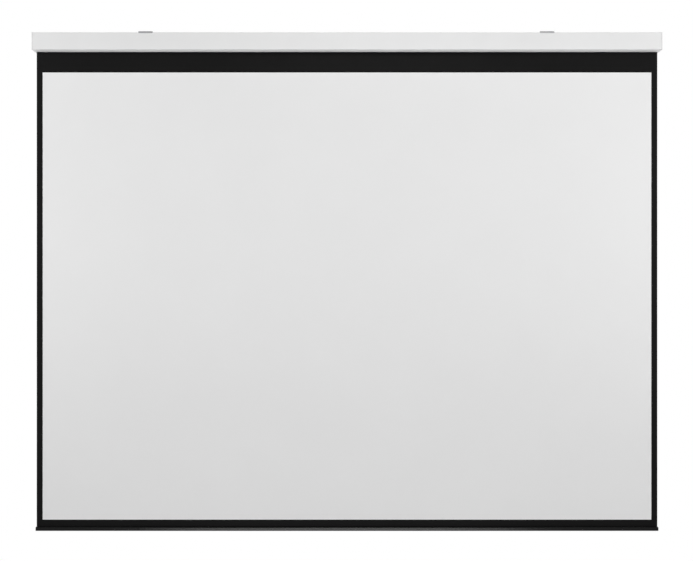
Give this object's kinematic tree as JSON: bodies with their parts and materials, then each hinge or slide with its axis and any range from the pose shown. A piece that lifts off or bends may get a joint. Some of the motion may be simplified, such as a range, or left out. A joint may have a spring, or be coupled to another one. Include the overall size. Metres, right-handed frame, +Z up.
{
  "type": "motorised projector screen",
  "caption": "Wall-hung motorised projector screen: white case with two quick-lock brackets, tube motor roller, black-bordered matte white sheet and black weight bar.",
  "frame": {"origin": "where the wall plane meets the plane of the bracket tops, midway along the case", "axes": "+X to the viewer's right along the case, +Y into the wall, +Z up; the screen faces -Y"},
  "size_m": [2.458, 0.0916, 1.9579],
  "materials": {
    "white_powder_coat": "satin",
    "white_plastic": "satin",
    "black_plastic": "satin",
    "black_powder_coat": "satin",
    "white_screen_fabric": "matte",
    "black_screen_fabric": "matte",
    "zinc_plated_steel": "satin",
    "bare_steel": "satin",
    "bare_aluminium": "satin",
    "natural_nylon": "satin",
    "black_motor_tube": "satin",
    "yellow_plastic": "satin"
  },
  "bodies": {
    "wall_brackets": {"bracket_left": "zinc_plated_steel", "bracket_right": "zinc_plated_steel", "latch_pivot_left": "bare_steel", "latch_pivot_right": "bare_steel"},
    "latch_left": {"latch_left": "zinc_plated_steel"},
    "latch_right": {"latch_right": "zinc_plated_steel"},
    "case": {"case_rear_profile": "white_powder_coat", "case_front_cover": "white_powder_coat", "end_plate_left": "white_plastic", "end_plate_right": "white_plastic", "end_plate_screw_left_1": "bare_steel", "end_plate_screw_left_2": "bare_steel", "end_plate_screw_left_3": "bare_steel", "end_plate_screw_left_4": "bare_steel", "end_plate_screw_right_1": "bare_steel", "end_plate_screw_right_2": "bare_steel", "end_plate_screw_right_3": "bare_steel", "end_plate_screw_right_4": "bare_steel", "motor_screw_1": "bare_steel", "motor_screw_2": "bare_steel", "motor_head": "black_plastic", "motor_body": "black_motor_tube", "power_socket": "black_plastic", "idler_pin": "bare_steel", "idler_pin_screw": "bare_steel", "projection_sheet": "white_screen_fabric"},
    "limit_screw_up": {"limit_screw_up": "yellow_plastic"},
    "limit_screw_down": {"limit_screw_down": "yellow_plastic"},
    "roller": {"roller_tube": "bare_aluminium", "roller_spline": "black_plastic", "wound_fabric": "black_screen_fabric", "drive_wheel": "black_plastic", "drive_wheel_clip": "bare_steel", "motor_output_shaft": "bare_steel", "limit_crown": "black_plastic", "idler_plug": "black_plastic", "idler_bush": "natural_nylon", "tube_rivet_drive": "bare_aluminium", "tube_rivet_idler": "bare_aluminium"},
    "weight_bar": {"weight_bar_profile": "black_powder_coat", "weight_strip": "bare_steel", "bottom_hem": "black_screen_fabric", "hem_spline": "white_plastic", "bar_end_cap_left": "black_plastic", "bar_end_cap_right": "black_plastic"}
  },
  "joints": [
    {"name": "case_shift", "type": "slide", "parent": "wall_brackets", "child": "case", "axis": [1, 0, 0], "range_m": [-0.03, 0.03]},
    {"name": "latch_left_turn", "type": "hinge", "parent": "wall_brackets", "child": "latch_left", "pos_m": [-0.785, -0.0135, 0], "axis": [0, 0, -1], "range_deg": [0, 90]},
    {"name": "latch_right_turn", "type": "hinge", "parent": "wall_brackets", "child": "latch_right", "pos_m": [0.78, -0.0135, 0], "axis": [0, 0, -1], "range_deg": [0, 90]},
    {"name": "screen_drop", "type": "slide", "parent": "case", "child": "weight_bar", "axis": [0, 0, 1], "range_m": [0, 1.8701], "deforming": ["projection_sheet"]},
    {"name": "roller_turn", "type": "hinge", "parent": "case", "child": "roller", "pos_m": [0, -0.05575, -0.03818], "axis": [1, 0, 0], "range_deg": [0, 3840]},
    {"name": "limit_screw_up_turn", "type": "hinge", "parent": "case", "child": "limit_screw_up", "pos_m": [-1.2191, -0.06378, -0.02671], "axis": [-1, 0, 0], "continuous": true},
    {"name": "limit_screw_down_turn", "type": "hinge", "parent": "case", "child": "limit_screw_down", "pos_m": [-1.2191, -0.04772, -0.02671], "axis": [-1, 0, 0], "continuous": true}
  ],
  "couplings": [
    {"joint": "roller_turn", "follows": "screen_drop", "rad_per_m": 35.477}
  ]
}
